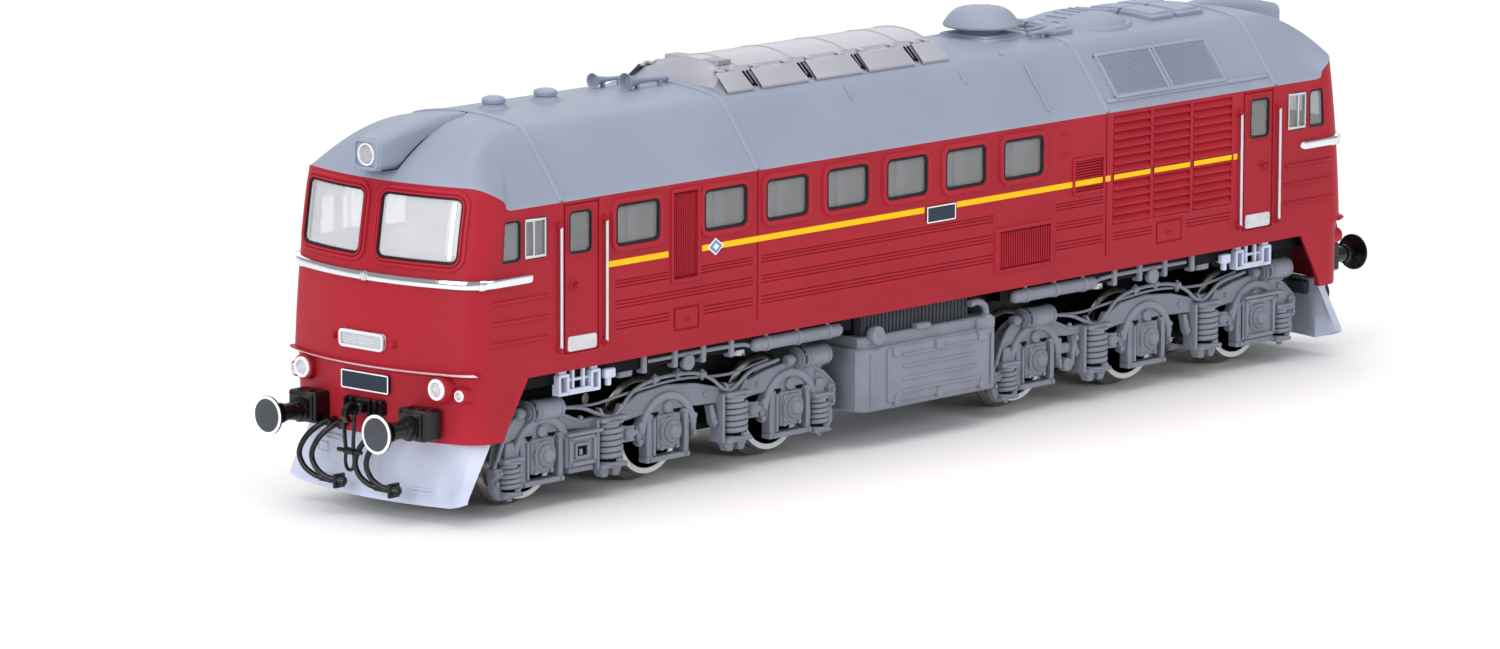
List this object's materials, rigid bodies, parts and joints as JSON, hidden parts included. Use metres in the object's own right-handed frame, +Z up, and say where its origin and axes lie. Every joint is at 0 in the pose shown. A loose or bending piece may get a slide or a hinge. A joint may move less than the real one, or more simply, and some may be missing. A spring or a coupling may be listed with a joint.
{
  "type": "model train",
  "caption": "Scale model diesel locomotive with a cab at each end, windowed engine room, swivelling three-axle bogies and a geared motor drive",
  "frame": {"origin": "centre of the model on the plane that the wheel flange bottoms touch", "axes": "+Y along the model with cab one at -Y, +X to the right-hand side seen from above with +Y ahead, +Z up"},
  "size_m": [0.0356, 0.2016, 0.0551],
  "materials": {
    "body_red": "satin deep red paint",
    "roof_grey": "matt blue-grey paint",
    "glazing": "clear moulded glazing",
    "chrome_trim": "bright chrome print",
    "silver_trim": "silver paint",
    "hood_silver": "metallic silver paint",
    "lamp_white": "white rim with a clear lens",
    "plate_dark": "blank dark plate with a white border",
    "black_plastic": "satin black moulding",
    "underframe_grey": "matt mid grey moulding",
    "light_grey": "matt light grey moulding",
    "chassis_metal": "blackened die-cast metal",
    "gearbox_metal": "blackened die-cast metal",
    "motor_steel": "plated steel",
    "brass_gear": "turned brass",
    "gear_plastic": "natural acetal",
    "wheel_metal": "browned wheel centre with a white rim",
    "shaft_plastic": "black acetal",
    "board_green": "green solder mask",
    "interior_grey": "matt grey moulding",
    "shoe_metal": "bright spring steel"
  },
  "bodies": {
    "locomotive": {"chassis_frame": "chassis_metal", "body_shell": "body_red", "roof_shell": "roof_grey", "windscreens": "glazing", "side_glazing": "glazing", "window_frames": "silver_trim", "trim_bands": "chrome_trim", "headlamp_fairings": "roof_grey", "headlamp_lenses": "lamp_white", "marker_lamps": "lamp_white", "handrails": "silver_trim", "kick_plates": "silver_trim", "number_plates": "plate_dark", "nose_grilles": "silver_trim", "intake_hood": "hood_silver", "roof_ventilator": "roof_grey", "roof_vent_caps": "roof_grey", "roof_horns": "roof_grey", "fan_cover": "roof_grey", "buffer_housings": "black_plastic", "buffers": "black_plastic", "coupling_hooks": "black_plastic", "brake_hoses": "black_plastic", "ploughs": "light_grey", "fuel_tank": "underframe_grey", "tank_fittings": "underframe_grey", "air_reservoirs": "underframe_grey", "cab_steps": "light_grey", "cab_interiors": "interior_grey", "engine_room_insert": "interior_grey", "circuit_board": "board_green", "loudspeaker": "black_plastic", "motor_case": "motor_steel", "chassis_screws": "motor_steel"},
    "rotor": {"motor_shaft": "motor_steel", "flywheels": "brass_gear"},
    "cardan_a": {"cardan_front": "shaft_plastic"},
    "cardan_b": {"cardan_rear": "shaft_plastic"},
    "bogie_front": {"gearbox_front": "gearbox_metal", "sideframes_front": "underframe_grey", "keeper_plate_front": "shaft_plastic"},
    "worm_shaft_front": {"worm_front": "brass_gear"},
    "first_gear_front": {"worm_wheel_front": "gear_plastic"},
    "outer_gear_front": {"outer_idler_front": "gear_plastic"},
    "inner_gear_front": {"inner_idler_front": "gear_plastic"},
    "axle_1": {"wheelset_1": "wheel_metal"},
    "axle_2": {"wheelset_2": "wheel_metal"},
    "axle_3": {"wheelset_3": "wheel_metal"},
    "bogie_rear": {"gearbox_rear": "gearbox_metal", "sideframes_rear": "underframe_grey", "keeper_plate_rear": "shaft_plastic"},
    "worm_shaft_rear": {"worm_rear": "brass_gear"},
    "first_gear_rear": {"worm_wheel_rear": "gear_plastic"},
    "outer_gear_rear": {"outer_idler_rear": "gear_plastic"},
    "inner_gear_rear": {"inner_idler_rear": "gear_plastic"},
    "axle_6": {"wheelset_6": "wheel_metal"},
    "axle_5": {"wheelset_5": "wheel_metal"},
    "axle_4": {"wheelset_4": "wheel_metal"},
    "shoe": {"pickup_shoe": "shoe_metal"}
  },
  "joints": [
    {"name": "motor_spin", "type": "hinge", "parent": "locomotive", "child": "rotor", "pos_m": [0, 0, 0.0214], "axis": [0, 1, 0], "continuous": true},
    {"name": "cardan_front_spin", "type": "hinge", "parent": "locomotive", "child": "cardan_a", "pos_m": [0, 0, 0.0214], "axis": [0, 1, 0], "continuous": true},
    {"name": "cardan_rear_spin", "type": "hinge", "parent": "locomotive", "child": "cardan_b", "pos_m": [0, 0, 0.0214], "axis": [0, 1, 0], "continuous": true},
    {"name": "bogie_front_swivel", "type": "hinge", "parent": "locomotive", "child": "bogie_front", "pos_m": [0, -0.0495, 0.0178], "axis": [0, 0, 1], "range_deg": [-8, 8]},
    {"name": "worm_front_spin", "type": "hinge", "parent": "bogie_front", "child": "worm_shaft_front", "pos_m": [0, -0.0495, 0.02141], "axis": [0, 1, 0], "continuous": true},
    {"name": "worm_wheel_front_spin", "type": "hinge", "parent": "bogie_front", "child": "first_gear_front", "pos_m": [0, -0.06157, 0.0157], "axis": [1, 0, 0], "continuous": true},
    {"name": "outer_idler_front_spin", "type": "hinge", "parent": "bogie_front", "child": "outer_gear_front", "pos_m": [0, -0.06779, 0.01122], "axis": [1, 0, 0], "continuous": true},
    {"name": "inner_idler_front_spin", "type": "hinge", "parent": "bogie_front", "child": "inner_gear_front", "pos_m": [0, -0.05536, 0.01122], "axis": [1, 0, 0], "continuous": true},
    {"name": "axle_1_spin", "type": "hinge", "parent": "bogie_front", "child": "axle_1", "pos_m": [0, -0.07365, 0.007], "axis": [1, 0, 0], "continuous": true},
    {"name": "axle_2_spin", "type": "hinge", "parent": "bogie_front", "child": "axle_2", "pos_m": [0, -0.0495, 0.007], "axis": [1, 0, 0], "continuous": true},
    {"name": "axle_3_spin", "type": "hinge", "parent": "bogie_front", "child": "axle_3", "pos_m": [0, -0.02535, 0.007], "axis": [1, 0, 0], "continuous": true},
    {"name": "bogie_rear_swivel", "type": "hinge", "parent": "locomotive", "child": "bogie_rear", "pos_m": [0, 0.0495, 0.0178], "axis": [0, 0, 1], "range_deg": [-8, 8]},
    {"name": "worm_rear_spin", "type": "hinge", "parent": "bogie_rear", "child": "worm_shaft_rear", "pos_m": [0, 0.0495, 0.02141], "axis": [0, 1, 0], "continuous": true},
    {"name": "worm_wheel_rear_spin", "type": "hinge", "parent": "bogie_rear", "child": "first_gear_rear", "pos_m": [0, 0.06157, 0.0157], "axis": [1, 0, 0], "continuous": true},
    {"name": "outer_idler_rear_spin", "type": "hinge", "parent": "bogie_rear", "child": "outer_gear_rear", "pos_m": [0, 0.06779, 0.01122], "axis": [1, 0, 0], "continuous": true},
    {"name": "inner_idler_rear_spin", "type": "hinge", "parent": "bogie_rear", "child": "inner_gear_rear", "pos_m": [0, 0.05536, 0.01122], "axis": [1, 0, 0], "continuous": true},
    {"name": "axle_6_spin", "type": "hinge", "parent": "bogie_rear", "child": "axle_6", "pos_m": [0, 0.07365, 0.007], "axis": [1, 0, 0], "continuous": true},
    {"name": "axle_5_spin", "type": "hinge", "parent": "bogie_rear", "child": "axle_5", "pos_m": [0, 0.0495, 0.007], "axis": [1, 0, 0], "continuous": true},
    {"name": "axle_4_spin", "type": "hinge", "parent": "bogie_rear", "child": "axle_4", "pos_m": [0, 0.02535, 0.007], "axis": [1, 0, 0], "continuous": true},
    {"name": "pickup_shoe_lift", "type": "slide", "parent": "bogie_rear", "child": "shoe", "axis": [0, 0, 1], "range_m": [0, 0.001], "stiffness_N_per_m": 60, "springref_m": -0.0006}
  ],
  "couplings": [
    {"joint": "cardan_front_spin", "follows": "motor_spin", "ratio": 1},
    {"joint": "cardan_rear_spin", "follows": "motor_spin", "ratio": 1},
    {"joint": "worm_front_spin", "follows": "motor_spin", "ratio": 1},
    {"joint": "worm_wheel_front_spin", "follows": "motor_spin", "ratio": -0.0625},
    {"joint": "outer_idler_front_spin", "follows": "motor_spin", "ratio": 0.055556},
    {"joint": "inner_idler_front_spin", "follows": "motor_spin", "ratio": 0.055556},
    {"joint": "axle_1_spin", "follows": "motor_spin", "ratio": -0.071429},
    {"joint": "axle_2_spin", "follows": "motor_spin", "ratio": -0.071429},
    {"joint": "worm_rear_spin", "follows": "motor_spin", "ratio": 1},
    {"joint": "worm_wheel_rear_spin", "follows": "motor_spin", "ratio": -0.0625},
    {"joint": "outer_idler_rear_spin", "follows": "motor_spin", "ratio": 0.055556},
    {"joint": "inner_idler_rear_spin", "follows": "motor_spin", "ratio": 0.055556},
    {"joint": "axle_6_spin", "follows": "motor_spin", "ratio": -0.071429},
    {"joint": "axle_5_spin", "follows": "motor_spin", "ratio": -0.071429}
  ]
}
